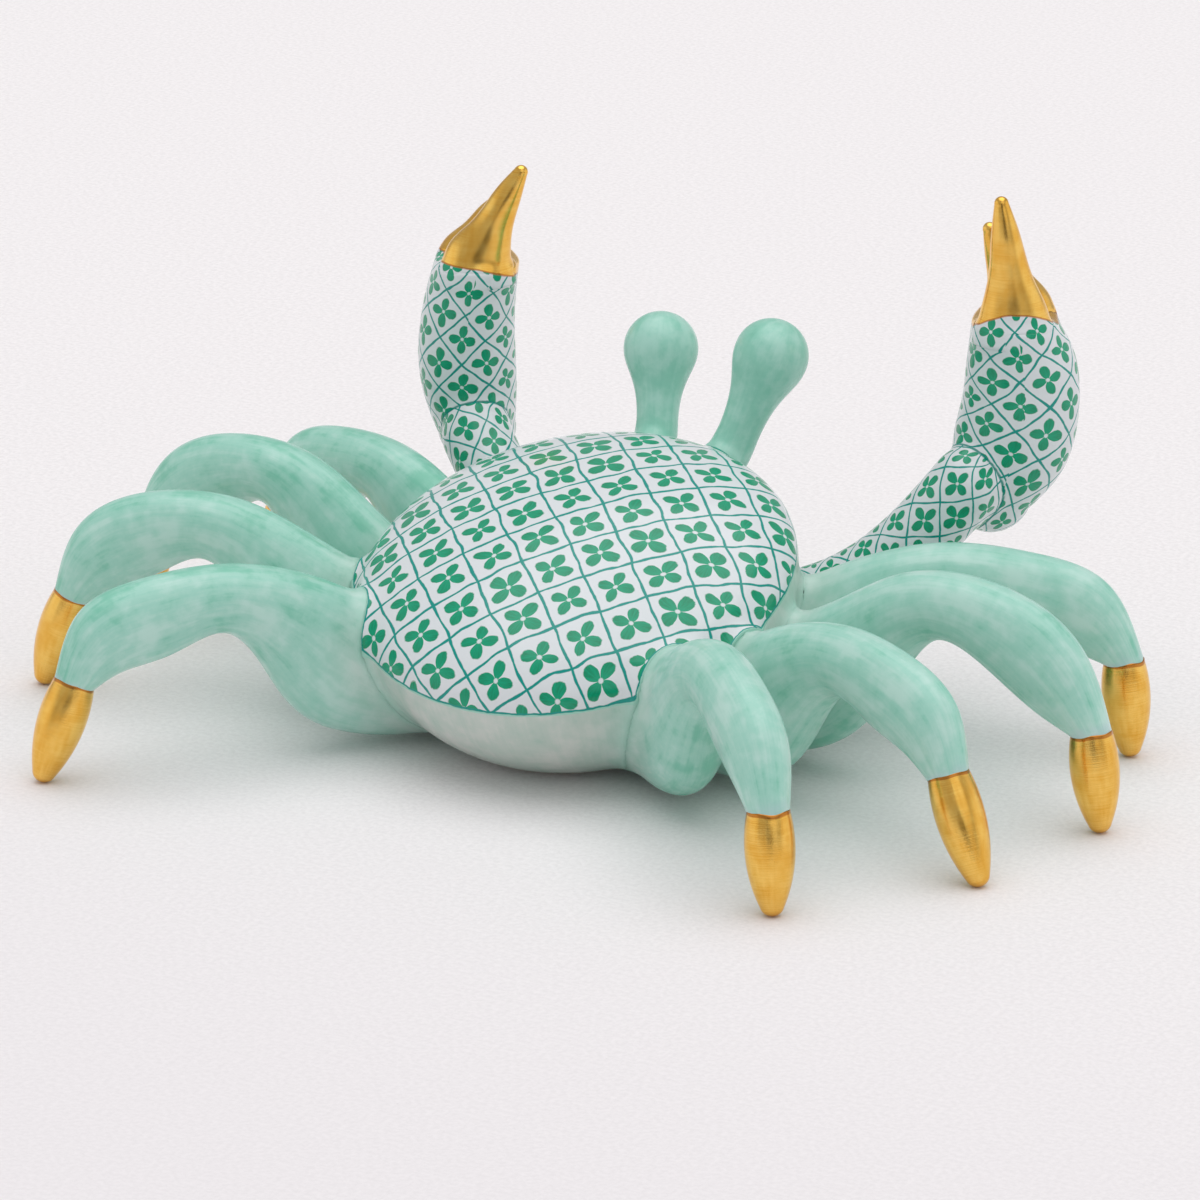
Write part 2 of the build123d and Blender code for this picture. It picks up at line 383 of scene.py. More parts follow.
def sponge(form, neighbours):
    """Where the points of a form go, so that it meets each neighbour in a smooth fillet. Each
    neighbour is a form and the width of its fillet."""
    own = form.normals()
    total = np.zeros(len(form.points))
    turned = np.zeros_like(form.points)
    for other, reach in neighbours:
        gap, away = nearness(form.points, other, reach)
        near = np.clip(1 - np.abs(gap) / reach, 0, 1)
        fall = np.where(gap >= 0, near**fillet_fall, near**fillet_fall_inside)
        lift = fall * reach * fillet_height
        turned += away * (lift * near * fillet_turn)[:, None]
        total = (total**fillet_join + lift**fillet_join) ** (1 / fillet_join)
    share = np.linalg.norm(turned, axis=1) / np.maximum(total, TINY)
    blend = own * (1 - np.minimum(share, fillet_turn))[:, None]
    blend += turned / np.maximum(total, TINY)[:, None]
    steep = np.maximum(np.linalg.norm(blend, axis=1), fillet_slope)
    return form.points + blend * (total / steep**2)[:, None]


def closeness(form, neighbours):
    """How near each point is to a joint: 1 at a neighbour, and 0 as far off as its width."""
    near = np.zeros(len(form.points))
    for other, reach in neighbours:
        gap, _ = nearness(form.points, other, reach)
        near = np.maximum(near, np.clip(1 - gap / reach, 0, 1))
    return near


# The crab's forms

def level(heading, side):
    """A level direction, turned from its side of the crab towards the front."""
    return np.array([side * cos(radians(heading)), sin(radians(heading)), 0])


def hip_place(bearing, side):
    """The place on the floor below a limb's root."""
    turn = radians(bearing)
    radius = rim_radius - hip_inset
    return np.array([side * radius * cos(turn), rim_ahead + radius * tilt_cos * sin(turn), 0])


def on_rim_plane(points):
    """Points given across, ahead and out from the middle of the tilted rim."""
    x, y, z = np.moveaxis(points, -1, 0)
    ahead = rim_ahead + y * tilt_cos - z * tilt_sin
    return np.stack([x, ahead, rim_height + y * tilt_sin + z * tilt_cos], -1)


def body_half(rise, segments=256, rows=84):
    """The shell's dome for a positive rise, or else the belly's bowl, closed past the rim."""
    curve = bezier([(0, rise), (fullness * rim_radius, rise), (rim_radius, fullness * rise),
                    (rim_radius, 0)], rows)
    past = -rim_overlap if rise > 0 else rim_overlap
    inside = [(rim_radius - rim_overlap / 3, past), (rim_radius - 3 * rim_overlap, past),
              (rim_radius / 2, past)]
    radii, heights = np.vstack([curve[1:], inside]).T
    turns = turns_round(segments)
    if rise > 0:
        turns = turns[::-1]
    rings = circles(radii, RIGHT, AHEAD, turns) + heights[:, None, None] * UP
    poles = on_rim_plane(np.array([[0, 0, rise], [0, 0, past]]))
    form = Form(on_rim_plane(rings), *poles)
    form.first_turn = turns[0]
    form.rim_length = distances(curve)[-1]
    return form


def leg_forms(leg):
    """A leg from inside the body to its neck, and the gilding of its toe."""
    root = hip_place(leg.bearing, leg.side)
    out = level(leg.heading, leg.side)
    across = level(leg.heading - 90, leg.side)
    neck_along = leg.reach - leg.neck_setback
    shin_length = neck_along - leg.knee_along
    shin_along = leg.knee_along + shin_share * shin_length
    calf_along = leg.knee_along + calf_share * shin_length
    thigh_height = hip_height + thigh_rise - leg.web / 2

    def place(along, height):
        return root + out * along + UP * height

    neck = place(neck_along, neck_height)
    tip = place(leg.reach, toe_tip_radius)
    stations = [
        (place(-root_reach, hip_height), root_size, root_size),
        (place(-hip_sink, hip_height - hip_dip), hip_wide, hip_tall),
        (place(hip_share * leg.knee_along, hip_height), hip_wide, hip_tall),
        (place(thigh_share * leg.knee_along, thigh_height), thigh_wide, thigh_tall + leg.web),
        (place(leg.knee_along, leg.knee_height), knee_wide, knee_tall),
        (place(shin_along, leg.knee_height - shin_drop), shin_wide, shin_tall),
        (place(calf_along, calf_height), calf_wide, calf_tall),
        (neck, neck_diameter, neck_diameter),
    ]
    rings = sweep(stations, across, end_direction=tip - neck)
    start = rings[0].mean(0)
    neck_row = len(rings) - 1
    rings, end = domed(rings, neck_diameter / 4)
    form = Form(rings, start, end)
    form.marks["neck"] = form.ring_lengths[neck_row] - form.along
    return form, toe_form(neck, tip - neck, across)


def toe_form(neck, nail, across, segments=56, side_rows=30, tip_rows=9):
    """The gilded bullet of a toe, with a wavering upper edge."""
    length = np.linalg.norm(nail)
    neck_radius = neck_diameter / 2
    base = (neck_radius + gilt_film, 0)
    shoulder = (toe_diameter / 2, toe_shoulder * length)
    lean = radians(toe_taper)
    side_end = (toe_tip_radius * cos(lean), length + toe_tip_radius * sin(lean))
    side = arc(base, shoulder, side_end, side_rows)
    tip = np.linspace(lean, pi / 2, tip_rows)[1:-1]
    ball = np.stack([toe_tip_radius * np.cos(tip), length + toe_tip_radius * np.sin(tip)], 1)
    lip = [(neck_radius - gilt_lip_inset, -gilt_overlap), (neck_radius, -gilt_overlap),
           (neck_radius + gilt_film, -gilt_overlap * gilt_lip_share)]
    radii, depths = np.vstack([lip, side, ball]).T
    sideways, upward, along = axes_of(nail, across)
    turns = turns_round(segments)
    waver = np.sin(2 * turns + neck[0]) + gilt_second_waver * np.sin(5 * turns + neck[1])
    fade = np.clip(1 - depths / gilt_waver_length, 0, 1)
    depths = depths[:, None] + np.outer(fade, gilt_waver * waver)
    rings = neck + circles(radii, sideways, upward, turns) + depths[:, :, None] * along
    form = Form(rings, neck - along * gilt_overlap, neck + along * (length + toe_tip_radius))
    form.marks["edge"] = np.maximum(form.along - form.ring_lengths[len(lip)], 0)
    return form


def eye_form(eye, segments=56, foot_rows=8, shaft_rows=16, pear_rows=26, crown_rows=18):
    """A ball that runs down into a stalk, whose hidden foot bends back into the body."""
    edge = rim_ahead + rim_radius * tilt_cos
    base = np.array([eye.side * eye.spread, edge + eye_ahead, rim_height + rim_radius * tilt_sin])
    lean = np.array([eye.side * eye.lean, eye_reach, eye.rise])
    ball = np.linalg.norm(lean)
    waist = eye_waist * ball
    neck = waist + eye_neck * (ball - waist)
    cheek = waist + eye_cheek * (ball - waist)
    sunk = (eye_base_radius, -eye_sink / 2)
    foot = np.linspace((eye_foot_radius, -eye_sink), sunk, foot_rows)[:-1]
    shaft = np.linspace(sunk, (eye_stalk_radius, waist), shaft_rows)
    pear = bezier([(eye_stalk_radius, waist), (eye_stalk_radius, neck),
                   (eye_ball_radius, cheek), (eye_ball_radius, ball)], pear_rows)
    tip = np.linspace(0, pi / 2, crown_rows)[1:-1]
    crown = np.stack([eye_ball_radius * np.cos(tip), ball + eye_ball_radius * np.sin(tip)], 1)
    radii, heights = np.vstack([foot, shaft, pear[1:], crown]).T
    bend = np.clip((waist - heights) / (waist + eye_sink), 0, 1) ** 2 * eye_bend
    sideways, upward, along = axes_of(lean, RIGHT)
    rings = base + circles(radii, sideways, upward, turns_round(segments))
    rings = rings + heights[:, None, None] * along - bend[:, None, None] * AHEAD
    return Form(rings, rings[0].mean(0), base + along * (ball + eye_ball_radius))


def arm_place(arm, share):
    """A place on the middle line of an arm, which rises to its wrist."""
    run = level(arm.heading, arm.side) * (arm.reach * share)
    height = arm_root_height + (arm.wrist_height - arm_root_height) * max(share, 0) ** 2
    return hip_place(arm.bearing, arm.side) + run + UP * height


def arm_form(arm):
    stations = [
        (arm_place(arm, -root_reach / arm.reach), root_size, root_size),
        (arm_place(arm, -arm_sink / arm.reach), arm_root_wide, arm_root_tall),
        (arm_place(arm, arm_root_share), arm_root_wide, arm_root_tall),
        (arm_place(arm, arm_middle_share), arm_wide, arm_tall),
        (arm_place(arm, 1), arm_end, arm_end),
    ]
    rings = sweep(stations, level(arm.heading - 90, arm.side))
    start = rings[0].mean(0)
    rings, end = domed(rings, arm_end / 2, count=14)
    return Form(rings, start, end)


def finger_form(base, lean, length, across):
    def place(share):
        return base + across * (lean * share**finger_curl) + UP * (length * share)

    stations = [
        (base - UP * finger_sink, finger_base_wide, finger_base_deep),
        (base, finger_base_wide, finger_base_deep),
        (place(finger_middle_share), finger_middle_wide, finger_middle_deep),
        (place(finger_end_share), finger_end_wide, finger_end_wide),
        (place(1), 2 * finger_tip_radius, 2 * finger_tip_radius),
    ]
    rings = sweep(stations, across, segments=48, step=0.35)
    start = rings[0].mean(0)
    rings, end = domed(rings, finger_tip_radius, count=8)
    return Form(rings, start, end)


def carry_on(finger, top, across, ahead, along):
    """Gives a finger the paint coordinates of the palm's top, that it grows from."""
    offset = finger.points - top
    share = (np.arctan2(offset @ ahead, offset @ across) + pi / 2) / (2 * pi)
    corners = []
    for face in finger.faces:
        first = share[face[0]]
        for corner in face:
            nearest = first + (share[corner] - first + 0.5) % 1 - 0.5
            corners.append((nearest, along + offset[corner, 2]))
    finger.corners = np.array(corners)


def claw_forms(claw, arm, edge):
    """A claw's palm and its two fingers, marked with their height above the gilding's edge."""
    wrist = arm_place(arm, 1)
    apart = level(pincer_heading, 1)
    across = level(pincer_heading - 90, 1)

    def place(share):
        lean = (claw.top_side - claw.base_side) * share
        aside = claw.base_side + lean + claw.bulge * sin(pi * share)
        rise = claw.base_rise + palm_length * share
        return wrist + across * aside + apart * claw.beyond + UP * rise

    stations = [
        (place(0), palm_base, palm_base),
        (place(heel_share), heel_size * claw.wide, heel_size * palm_deep),
        (place(palm_middle_share), claw.wide, palm_deep),
        (place(shoulder_share), shoulder_size * claw.wide, palm_deep),
        (place(1), claw.top_wide, palm_top_deep),
    ]
    rings = sweep(stations, across, end_direction=UP, segments=72, step=0.4)
    top = place(1)
    rings, start = domed(rings, palm_base / 2, at_start=True, count=14)
    top_row = len(rings) - 1
    rings, end = domed(rings, palm_crown, count=9)
    palm = Form(rings, start, end)
    fingers = {}
    for name, sign, length, lean in (("rear", -1, claw.rear_length, claw.rear_lean),
                                     ("front", 1, claw.front_length, claw.front_lean)):
        foot = top + apart * (sign * finger_spacing / 2) + across * (sign * claw.stagger)
        fingers[name] = finger_form(foot, lean, length, across)
        carry_on(fingers[name], top, across / claw.top_wide, apart / palm_top_deep,
                 palm.ring_lengths[top_row])
    for form in (palm, *fingers.values()):
        offset = form.points - top
        rear = np.clip(-(offset @ apart) / (palm_top_deep / 2), 0, 1) ** 2
        aside = np.clip(offset @ across / (claw.top_wide / 2), -1, 1)
        form.marks["gilt"] = offset[:, 2] - edge.rear_rise * rear - edge.side_rise * aside
    return palm, fingers


# Paint and glaze

def colour(red, green, blue):
    """A screen colour from 0 to 255, by the sRGB curve, as the shaders take it."""
    channels = [c / 255 for c in (red, green, blue)]
    linear = [c / 12.92 if c <= 0.04045 else ((c + 0.055) / 1.055) ** 2.4 for c in channels]
    return (*linear, 1.0)


glaze_white = colour(220, 225, 228)
leg_tones = colour(187, 224, 213), colour(160, 213, 197), colour(124, 197, 173)
eye_tones = colour(170, 217, 203), colour(140, 203, 183), colour(112, 184, 160)
belly_tones = colour(208, 213, 207), colour(190, 205, 196), colour(168, 196, 184)
joint_mint = colour(160, 212, 195)
neck_lilac = colour(186, 196, 212)
leaf_green = colour(0, 132, 92)
leaf_pale = colour(0, 162, 122)
line_teal = colour(0, 146, 134)
biscuit = colour(226, 220, 208)
gold_bright = colour(248, 204, 108)
gold_deep = colour(232, 174, 70)
gold_line = colour(178, 104, 44)
paper_dark = colour(233, 229, 230)
paper_light = colour(248, 244, 245)
# The darker paper tone below is painted shade on the floor towards the camera, not a colour of the
# paper
paper_near_shade = colour(229, 224, 227)
speck_grey = colour(170, 165, 158)

# A patch is noise with a share in what it is added to, and a stroke is noise along a limb. Values
# in a pair are where something starts and ends, and a third is the most that it comes to.
Patch = namedtuple("Patch", "share scale detail roughness", defaults=[0.55])
Stroke = namedtuple("Stroke", "share width length seed")

# Glaze over the unevenness of a cast, and the bare foot
glaze = {"Coat Weight": 0.1, "Coat Roughness": 0.07, "Specular IOR Level": 0.35}
wash_rough = 0.26
biscuit_rough = 0.76
eye_rough = 0.24
paint_rough = 0.2
foot_glaze = 0.1, 0.4
cast_patch = Patch(1.0, 0.16, 1.0)
cast_depth = 0.0004
cast_strength = 0.5

# Green wash: what its depth is made of, with a ridge along the top of a limb, and its three tones
broad_patch = Patch(0.3, 0.2, 2.0, 0.5)
fine_patch = Patch(0.22, 0.5, 3.0, 0.6)
wash_strokes = (
    Stroke(0.28, 1.8, 14.0, 3.0), Stroke(0.13, 0.7, 7.0, 11.0), Stroke(0.07, 0.25, 3.0, 23.0),
)
stroke_patch = Patch(1.0, 1.0, 2.0, 0.5)
ridge_fall = 0.0, 0.24, 0.08
wash_rise = 0.36, 0.7
middle_tone = 0.0, 0.55
deep_tone = 0.5, 1.0
belly_streaks = 0.6
eye_streaks = 0.4

# At a joint: the neighbour's wash that runs in, green that pools, and a painted line
root_rise = 0.0, 1.0, 0.5
pool_rise = 0.35, 1.0, 0.45
seam_rise = 0.78, 0.9, 0.85

# The lilac band above a toe's gilding
band_waver = Patch(1.6, 0.35, 1.0)
band_fall = 0.8, 1.8, 0.35

# Trellis, in cells: how its lines waver and swell, and how petals reach, turn, fray and deepen
line_waver = Patch(0.16, 0.22, 1.0)
cross_waver = Patch(0.14, 1.7, 1.0)
cross_seed = 5.0
line_thin = 0.009
line_swell = Patch(0.04, 0.7, 2.0)
line_fall = 0.75, 1.35
petal_reach = 0.56
petal_reach_chance = 0.1
petal_turn_chance = 0.5
petal_fullness = 0.62
petal_fray = Patch(0.14, 1.1, 3.0)
petal_rise = 0.0, 0.05
flower_middle = 0.05, 0.09
bristles = Patch(0.9, 2.6, 3.0, 0.6)
bristles_round = 5.0
petal_end_share = 0.35
petal_tone = 0.35, 0.85

# The line round the shell, in millimetres from its edge
border_inset = 0.05
border_waver = Patch(0.5, 0.5, 2.0)
border_thin = 0.1
border_swell = Patch(0.3, 0.8, 1.0)
border_fall = 0.7, 1.2
outside_fall = -0.12, 0.0

# Gold: marks of the burnisher and of the brush, by their cycles round and along, and wear
ring_cycles = 3.0, 14.0
ring_share = 0.4
stroke_cycles = 34.0, 0.3
stroke_share = 0.2
wear_patch = Patch(0.4, 0.4, 2.0, 0.5)
gold_tone = 0.36, 0.64
gold_rough = 0.17
gold_wear_rough = 0.1
gold_relief = 0.00003
gold_relief_strength = 0.4

# The edge of the gold and the brown line on it, in millimetres
toe_line_fall = 0.04, 0.18, 0.8
claw_waver = Patch(0.8, 0.3, 1.0)
claw_gilt_rise = -0.08, 0.02
claw_line_start = -0.2, -0.1, 0.75
claw_line_end = 0.05, 0.2, 0.75


class Shader:
    """The nodes of a material or of the world, and the node at their end that gives the look."""

    def __init__(self, owner, surface="Principled BSDF"):
        owner.use_nodes = True
        self.owner = owner
        self.nodes = owner.node_tree.nodes
        self.links = owner.node_tree.links
        self.surface = self.nodes[surface]

    def node(self, kind, inputs=(), **settings):
        node = self.nodes.new(kind)
        for key, value in settings.items():
            setattr(node, key, value)
        for key, value in dict(inputs).items():
            self.put(node.inputs[key], value)
        return node

    def put(self, socket, value):
        if isinstance(value, bpy.types.NodeSocket):
            self.links.new(value, socket)
        else:
            socket.default_value = value

    def math(self, operation, first, second=0.0, third=0.0):
        inputs = {0: first, 1: second, 2: third}
        return self.node("ShaderNodeMath", inputs, operation=operation).outputs[0]

    def dot(self, first, second):
        inputs = {0: first, 1: second}
        return self.node("ShaderNodeVectorMath", inputs, operation="DOT_PRODUCT").outputs["Value"]

    def vector(self, x, y, z=0.0):
        return self.node("ShaderNodeCombineXYZ", {0: x, 1: y, 2: z}).outputs[0]

    def split(self, vector):
        return self.node("ShaderNodeSeparateXYZ", {0: vector}).outputs

    def uv(self):
        return self.node("ShaderNodeUVMap", uv_map="paint").outputs[0]

    def place(self):
        """The point on the object, in millimetres."""
        inputs = {0: self.node("ShaderNodeTexCoord").outputs["Object"], "Scale": 1 / MM}
        return self.node("ShaderNodeVectorMath", inputs, operation="SCALE").outputs[0]

    def mark(self, name):
        return self.node("ShaderNodeAttribute", attribute_name=name).outputs["Fac"]

    def noise(self, patch, vector=None):
        """The noise of a patch, by the place on the object or by another vector."""
        inputs = {"Vector": vector or self.place(), "Scale": patch.scale,
                  "Detail": patch.detail, "Roughness": patch.roughness}
        return self.node("ShaderNodeTexNoise", inputs).outputs["Fac"]

    def patched(self, base, patch, vector=None):
        """A value with a patch's share of noise added."""
        return self.math("MULTIPLY_ADD", self.noise(patch, vector), patch.share, base)

    def rise(self, value, low, high, most=1.0, least=0.0):
        """Goes smoothly from least to most as a value goes from low to high."""
        inputs = {"Value": value, "From Min": low, "From Max": high,
                  "To Min": least, "To Max": most}
        node = self.node("ShaderNodeMapRange", inputs, interpolation_type="SMOOTHSTEP")
        return node.outputs["Result"]

    def fall(self, value, low, high, most=1.0):
        """Goes smoothly from most to 0 as a value goes from low to high."""
        return self.rise(value, low, high, 0.0, most)

    def mix(self, share, first, second):
        inputs = {"Factor": share, 6: first, 7: second}
        return self.node("ShaderNodeMix", inputs, data_type="RGBA").outputs[2]

    def bump(self, height, distance, strength):
        inputs = {"Height": height, "Distance": distance, "Strength": strength}
        return self.node("ShaderNodeBump", inputs).outputs[0]

    def finish(self, settings):
        for name, value in settings.items():
            self.put(self.surface.inputs[name], value)
        return self.owner


def paint_shader(name):
    return Shader(bpy.data.materials.new(name))


def glazed(shader, tone, rough, settings=()):
    """Paint under glaze, on the slow unevenness of a cast."""
    relief = shader.bump(shader.noise(cast_patch), cast_depth, cast_strength)
    paint = {"Base Color": tone, "Roughness": rough, "Normal": relief}
    return shader.finish({**paint, **glaze, **dict(settings)})


def brush(shader, radius, stroke):
    """Noise in strokes that run along a limb of some radius."""
    round_share, along, _ = shader.split(shader.uv())
    turn = shader.math("MULTIPLY", round_share, 2 * pi)
    reach = radius / stroke.width
    x = shader.math("MULTIPLY", shader.math("COSINE", turn), reach)
    y = shader.math("MULTIPLY_ADD", shader.math("SINE", turn), reach, stroke.seed)
    z = shader.math("MULTIPLY", along, 1 / stroke.length)
    return shader.noise(stroke_patch, shader.vector(x, y, z))


def wash_depth(shader, radius, streaks):
    """How thickly a wash lies, from 0 to 1, with more or fewer streaks about the same mean."""
    round_share, _, _ = shader.split(shader.uv())
    from_top = shader.math("ABSOLUTE", shader.math("SUBTRACT", round_share, 0.5))
    mean_streak = sum(stroke.share for stroke in wash_strokes) / 2
    depth = shader.patched(mean_streak * (1 - streaks), broad_patch)
    for stroke in wash_strokes:
        strokes = brush(shader, radius, stroke)
        depth = shader.math("MULTIPLY_ADD", strokes, stroke.share * streaks, depth)
    depth = shader.patched(depth, fine_patch)
    depth = shader.math("ADD", depth, shader.fall(from_top, *ridge_fall))
    return shader.rise(depth, *wash_rise)


def toned(shader, depth, tones):
    pale, middle, deep = tones
    tone = shader.mix(shader.rise(depth, *middle_tone), pale, middle)
    return shader.mix(shader.rise(depth, *deep_tone), tone, deep)


def wash_material(name, tones, root_tones, radius, streaks=1.0):
    """A brushed green wash that runs into the wash of what it joins, and pools in the joint."""
    shader = paint_shader(name)
    depth = wash_depth(shader, radius, streaks)
    spread = shader.rise(shader.mark("root"), *root_rise)
    tone = shader.mix(spread, toned(shader, depth, tones), toned(shader, depth, root_tones))
    pooled = shader.rise(shader.mark("joint"), *pool_rise)
    return shader, shader.mix(pooled, tone, joint_mint)


def leg_material():
    shader, tone = wash_material("leg_wash", leg_tones, belly_tones, limb_radius)
    band = shader.fall(shader.patched(shader.mark("neck"), band_waver), *band_fall)
    tone = shader.mix(band, tone, neck_lilac)
    return glazed(shader, tone, wash_rough)


def belly_material():
    """The pale wash of the belly, which stops short of the unglazed foot."""
    shader, tone = wash_material("belly_wash", belly_tones, leg_tones, rim_radius, belly_streaks)
    height = shader.split(shader.place())[2]
    tone = shader.mix(shader.rise(height, *foot_glaze), biscuit, tone)
    rough = shader.rise(height, *foot_glaze, wash_rough, biscuit_rough)
    return glazed(shader, tone, rough)


def eye_material():
    shader, tone = wash_material("eye_wash", eye_tones, leg_tones, eye_ball_radius, eye_streaks)
    return glazed(shader, tone, eye_rough)


def trellis(shader, cells):
    """Painted diamonds with a four-petalled flower in each: line, petal and depth of colour."""
    math, rise = shader.math, shader.rise
    x, y, _ = shader.split(cells)
    x = shader.patched(x, line_waver)
    y = shader.patched(y, cross_waver, shader.vector(y, x, cross_seed))
    first, second = math("ADD", x, y), math("SUBTRACT", x, y)
    across = math("SUBTRACT", math("FRACT", first), 0.5)
    down = math("SUBTRACT", math("FRACT", second), 0.5)
    edge = math("MINIMUM", math("SUBTRACT", 0.5, math("ABSOLUTE", across)),
                math("SUBTRACT", 0.5, math("ABSOLUTE", down)))
    line = shader.fall(math("DIVIDE", edge, shader.patched(line_thin, line_swell)), *line_fall)

    cell = shader.vector(math("FLOOR", first), math("FLOOR", second))
    chance = shader.node("ShaderNodeTexWhiteNoise", {"Vector": cell}).outputs["Value"]
    flower_x, flower_y = math("ADD", across, down), math("SUBTRACT", across, down)
    far = math("SQRT", math("ADD", math("MULTIPLY", flower_x, flower_x),
                            math("MULTIPLY", flower_y, flower_y)))
    angle = math("ARCTAN2", flower_y, flower_x)
    turned = math("MULTIPLY_ADD", math("SUBTRACT", chance, 0.5), petal_turn_chance, angle)
    lobes = math("ABSOLUTE", math("COSINE", math("MULTIPLY", turned, 2.0)))
    longest = math("MULTIPLY_ADD", chance, petal_reach_chance, petal_reach)
    reach = math("MULTIPLY", math("POWER", lobes, petal_fullness), longest)
    fray = shader.patched(-petal_fray.share / 2, petal_fray)
    inside = math("ADD", math("SUBTRACT", reach, far), fray)
    petal = math("MULTIPLY", rise(inside, *petal_rise), rise(far, *flower_middle))

    strokes = shader.vector(math("MULTIPLY", turned, bristles_round), far, chance)
    depth = shader.patched(math("MULTIPLY", far, petal_end_share), bristles, strokes)
    return line, petal, rise(depth, *petal_tone)


def painted(shader, line, petal, depth):
    """White glaze with the trellis on it."""
    tone = shader.mix(depth, leaf_pale, leaf_green)
    tone = shader.mix(petal, glaze_white, tone)
    return shader.mix(line, tone, line_teal)


def shell_material():
    """The painted shell, with a line round its edge and round what stands on it."""
    shader = paint_shader("painted_shell")
    base = painted(shader, *trellis(shader, shader.uv()))
    wander = shader.patched(border_inset, border_waver)
    beyond = shader.math("SUBTRACT", shader.mark("edge"), wander)
    thick = shader.patched(border_thin, border_swell)
    border = shader.fall(shader.math("DIVIDE", beyond, thick), *border_fall)
    base = shader.mix(border, base, line_teal)
    base = shader.mix(shader.fall(beyond, *outside_fall), base, joint_mint)
    return glazed(shader, base, paint_rough)


def gold_marks(shader, round_share, along):
    """Fine rings from the burnisher, and strokes of the brush."""
    marks = []
    for cycles_round, cycles_along in (ring_cycles, stroke_cycles):
        lines = shader.vector(shader.math("MULTIPLY", round_share, cycles_round),
                              shader.math("MULTIPLY", along, cycles_along))
        marks.append(shader.noise(stroke_patch, lines))
    return marks


def gold_surface(shader, rings, strokes):
    """The tone and the roughness of gold with those marks on it."""
    worn = shader.noise(wear_patch)
    depth = shader.math("MULTIPLY", rings, ring_share)
    depth = shader.math("MULTIPLY_ADD", strokes, stroke_share, depth)
    depth = shader.math("MULTIPLY_ADD", worn, wear_patch.share, depth)
    tone = shader.mix(shader.rise(depth, *gold_tone), gold_deep, gold_bright)
    return tone, shader.math("MULTIPLY_ADD", worn, gold_wear_rough, gold_rough)


def gold_material():
    """Gilding with a thin brown line where its edge was painted."""
    shader = paint_shader("gilding")
    round_share, along, _ = shader.split(shader.uv())
    rings, strokes = gold_marks(shader, round_share, along)
    tone, rough = gold_surface(shader, rings, strokes)
    tone = shader.mix(shader.fall(shader.mark("edge"), *toe_line_fall), tone, gold_line)
    relief = shader.bump(shader.math("ADD", rings, strokes), gold_relief, gold_relief_strength)
    return shader.finish(
        {"Base Color": tone, "Roughness": rough, "Normal": relief, "Metallic": 1.0})


def limb_paint_material():
    """The painted arms and claws, up to the gilded top of a claw."""
    shader = paint_shader("painted_limb")
    cells = shader.uv()
    base = painted(shader, *trellis(shader, cells))
    across, up, _ = shader.split(cells)
    marks = gold_marks(shader, shader.math("MULTIPLY", across, 1 / cells_round_claw),
                       shader.math("MULTIPLY", up, limb_cell))
    gilt_tone, gilt_rough = gold_surface(shader, *marks)
    base = shader.mix(shader.rise(shader.mark("joint"), *seam_rise), base, line_teal)
    waver = shader.patched(-claw_waver.share / 2, claw_waver)
    height = shader.math("ADD", shader.mark("gilt"), waver)
    gilt = shader.rise(height, *claw_gilt_rise)
    base = shader.mix(gilt, base, gilt_tone)
    line = shader.math("SUBTRACT", shader.rise(height, *claw_line_start),
                       shader.rise(height, *claw_line_end))
    base = shader.mix(line, base, gold_line)
    bare = shader.math("SUBTRACT", 1.0, gilt)
    bare_rough = shader.math("MULTIPLY", bare, paint_rough)
    rough = shader.math("MULTIPLY_ADD", gilt_rough, gilt, bare_rough)
    coat = shader.math("MULTIPLY", bare, glaze["Coat Weight"])
    return glazed(shader, base, rough, {"Coat Weight": coat, "Metallic": gilt})


# Pieces

def add_piece(name, node, form, points, material, corners):
    """A closed mesh in the solids' frame, that stands for one node."""
    mesh = bpy.data.meshes.new(name)
    mesh.from_pydata((points * MM).tolist(), [], form.faces)
    layer = mesh.uv_layers.new(name="paint")
    layer.data.foreach_set("uv", np.asarray(corners, np.float32).ravel())
    for mark, values in form.marks.items():
        attribute = mesh.attributes.new(mark, "FLOAT", "POINT")
        attribute.data.foreach_set("value", np.asarray(values, np.float32))
    mesh.polygons.foreach_set("use_smooth", np.ones(len(mesh.polygons), bool))
    mesh.materials.append(material)
    mesh.update()
    piece = bpy.data.objects.new(name, mesh)
    bpy.context.scene.collection.objects.link(piece)
    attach(piece, "root")
    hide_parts(node)
    return piece


def cell_corners(form, cells_round):
    return np.stack([form.corners[:, 0] * cells_round, form.corners[:, 1] / limb_cell], 1)


def shell_corners(form):
    """The shell's paint coordinates in cells, measured over the dome from its top."""
    share, length = form.corners[:, 0], form.corners[:, 1]
    angle = form.first_turn - share * 2 * pi
    return np.stack([length * np.cos(angle), length * np.sin(angle)], 1) / shell_cell + 0.5


# All the forms are made first, so that each can be sponged to its neighbours
shell = body_half(dome_height)
bowl = body_half(-bowl_depth)
leg_shapes, toe_shapes, arm_shapes, palm_shapes, finger_shapes, eye_shapes = {}, {}, {}, {}, {}, {}
for name, leg in legs.items():
    leg_shapes[name], toe_shapes[name.replace("leg", "toe_gilding")] = leg_forms(leg)
for side in arms:
    arm_shapes[side] = arm_form(arms[side])
    palm_shapes[side], finger_shapes[side] = claw_forms(claws[side], arms[side], gilt_edges[side])
    eye_shapes[side] = eye_form(eyes[side])

leg_wash = leg_material()
belly_wash = belly_material()
eye_wash = eye_material()
shell_paint = shell_material()
limb_paint = limb_paint_material()
gold = gold_material()


